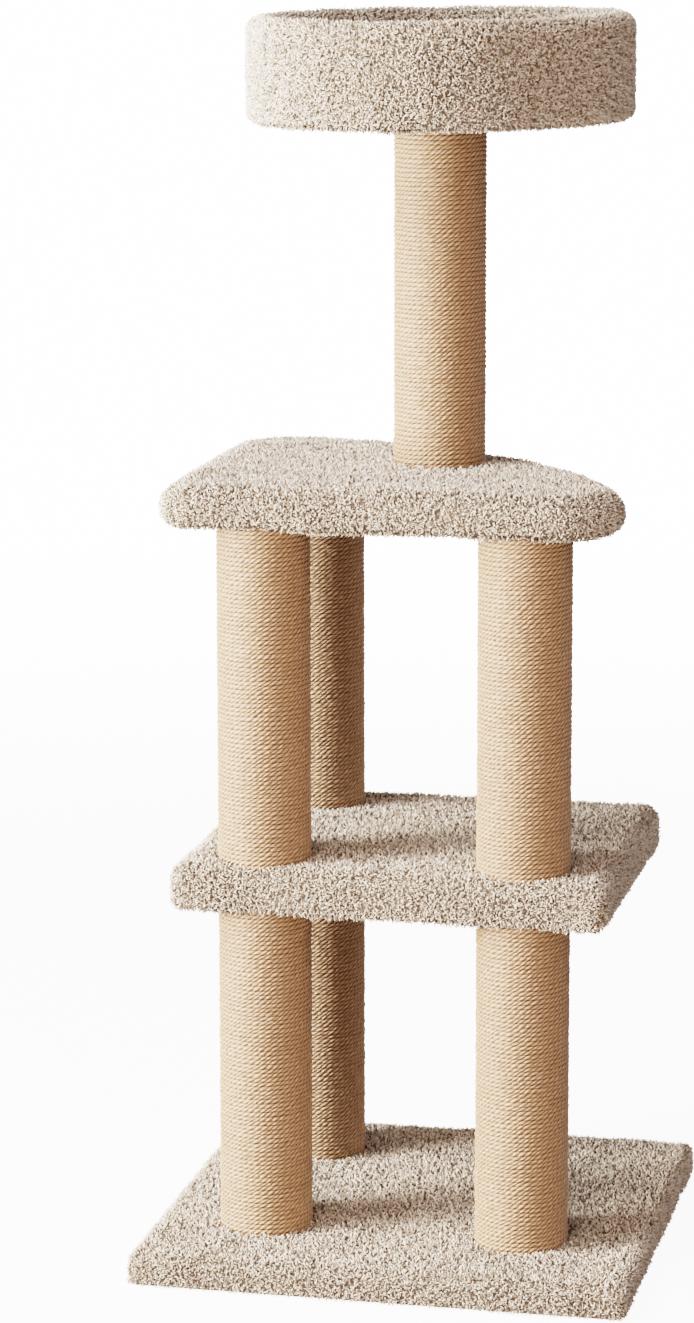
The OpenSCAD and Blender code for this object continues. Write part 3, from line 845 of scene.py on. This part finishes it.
def build_tree():
    """All the carpets and ropes; the numbers are the seeds of their random draws."""
    lower = [circle(f"lower_{place}_rope") for place in CORNER_POSTS]
    upper = [circle(f"upper_{place}_rope") for place in CORNER_POSTS]
    bed_post = [circle("bed_post_rope")]
    mid, fan = rect_arcs("mid_carpet", MID_CORNER), fan_arcs("top_carpet")
    add_slab("base_carpet", rect_arcs("base_carpet", BASE_CORNER), (BASE_LOW_ROLL, BASE_TOP_ROLL),
             BASE_HEM, 11, lower, (), BASE_RISE)
    hem, patch = SHELF_HEM - SEAM_GAP / 2, SHELF_HEM + SEAM_GAP / 2
    add_slab("mid_carpet", mid, (SHELF_LOW_ROLL, SHELF_ROLL), hem, 21, upper, lower,
             MID_RISE, MID_SAG)
    add_patch("mid_underside_carpet", mid, patch, 22, lower)
    add_slab("top_carpet", fan, FAN_ROLLS, hem, 31, bed_post, upper)
    add_patch("top_underside_carpet", fan, patch, 32, upper)
    add_bed(41)
    posts = [f"{level}_{place}" for level in ("lower", "upper") for place in CORNER_POSTS]
    posts.append("bed_post")
    for number, name in enumerate(posts):
        add_rope(f"{name}_rope", f"{name}_core", 51 + number)
        add_fibres(f"{name}_rope", 71 + number)


def finish_cad_nodes():
    """Gives every CAD node a material for what it is made of."""
    kinds = {"board": "plywood", "hoop": "plywood", "plug": "plywood", "core": "cardboard",
             "carpet": "backing", "rope": "sisal"}
    for name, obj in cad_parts.items():
        kind = kinds.get(name.split("_")[-1], "steel")
        obj.data.materials.clear()
        obj.data.materials.append(materials[kind])


# ---------------------------------------------------------------- camera, floor and light
def direction(azimuth, elevation):
    """Unit vector towards a place round the object; azimuth 0 is the front."""
    a, e = math.radians(azimuth), math.radians(elevation)
    return np.array([math.sin(a) * math.cos(e), -math.cos(a) * math.cos(e), math.sin(e)])


def add_camera():
    """The camera, at the photograph's viewing angle."""
    data = bpy.data.cameras.new("camera")
    data.lens = CAMERA_LENS
    data.clip_end = 100.0
    camera = bpy.data.objects.new("camera", data)
    turn = (Matrix.Rotation(math.radians(CAMERA_YAW), 4, "Z")
            @ Matrix.Rotation(math.radians(90 - CAMERA_DOWN), 4, "X")
            @ Matrix.Rotation(math.radians(CAMERA_ROLL), 4, "Z"))
    camera.matrix_world = Matrix.Translation(CAMERA_PLACE) @ turn
    bpy.context.scene.collection.objects.link(camera)
    bpy.context.scene.camera = camera


def add_floor():
    """A pale round floor that fades into the backdrop far from the object."""
    turn = np.linspace(0, 2 * math.pi, FLOOR_SIDES + 1)[:-1]
    ring = np.c_[np.cos(turn), np.sin(turn), np.zeros(FLOOR_SIDES)]
    points = np.vstack([r * ring for r in FLOOR_RINGS])
    here = np.arange(FLOOR_SIDES)
    after = (here + 1) % FLOOR_SIDES
    starts = [k * FLOOR_SIDES for k in range(len(FLOOR_RINGS))]
    quads = np.concatenate([np.c_[a + here, b + here, b + after, a + after]
                            for a, b in zip(starts, starts[1:])])
    floor = make_object("floor", points, [quads, here[None]])
    material, tree, shader = new_material("pale_floor", 0.9)
    shader.inputs["Base Color"].default_value = (*FLOOR_COLOUR, 1)
    away = put(tree, "ShaderNodeVectorMath", {0: place_of(tree)}, operation="LENGTH").outputs["Value"]
    near, far = FLOOR_FADE
    fade = put(tree, "ShaderNodeMapRange", {"Value": away, "From Min": near, "From Max": far},
               interpolation_type="SMOOTHSTEP").outputs["Result"]
    shader.inputs["Emission Color"].default_value = (1, 1, 1, 1)
    shader.inputs["Emission Strength"].default_value = FLOOR_GLOW
    glow = put(tree, "ShaderNodeEmission", {"Strength": BACKDROP_GLOW}).outputs["Emission"]
    blend = put(tree, "ShaderNodeMixShader", {0: fade, 1: shader.outputs["BSDF"], 2: glow})
    tree.links.new(blend.outputs["Shader"], tree.nodes["Material Output"].inputs["Surface"])
    floor.data.materials.append(material)
    floor.visible_diffuse = False
    floor.visible_glossy = False


def add_lamp(name, azimuth, elevation, power, colour):
    """A round soft lamp that looks at the object's middle."""
    data = bpy.data.lights.new(name, "AREA")
    data.shape = "DISK"
    data.size = LAMP_SIZE
    data.energy = power
    data.color = colour
    lamp = bpy.data.objects.new(name, data)
    low, high = cad_box
    middle = np.array((low + high) / 2)
    towards = direction(azimuth, elevation)
    lamp.matrix_world = (Matrix.Translation(middle + LAMP_DISTANCE * towards)
                         @ Matrix.Rotation(math.radians(azimuth), 4, "Z")
                         @ Matrix.Rotation(math.radians(90 - elevation), 4, "X"))
    bpy.context.scene.collection.objects.link(lamp)


def add_surroundings():
    """Dim warm light from all round; behind the object the camera sees a pale backdrop instead."""
    world = bpy.data.worlds.new("studio")
    world.use_nodes = True
    tree = world.node_tree
    tree.nodes.clear()
    fill = put(tree, "ShaderNodeBackground", {"Color": (*FILL_COLOUR, 1)}).outputs["Background"]
    backdrop = put(tree, "ShaderNodeBackground", {"Color": (1, 1, 1, 1), "Strength": BACKDROP_GLOW})
    backdrop = backdrop.outputs["Background"]
    seen = tree.nodes.new("ShaderNodeLightPath").outputs["Is Camera Ray"]
    both = put(tree, "ShaderNodeMixShader", {0: seen, 1: fill, 2: backdrop}).outputs["Shader"]
    put(tree, "ShaderNodeOutputWorld", {"Surface": both})
    bpy.context.scene.world = world
    bpy.context.scene.view_settings.view_transform = "Filmic"
    bpy.context.scene.view_settings.look = "High Contrast"


materials = {"yarn": yarn_material(), "backing": backing_material(),
             "sisal": sisal_material(), "cardboard": cardboard_material(),
             "plywood": plywood_material(), "steel": steel_material()}
build_tree()
finish_cad_nodes()
add_floor()
for lamp in LAMPS:
    add_lamp(*lamp)
add_surroundings()
add_camera()
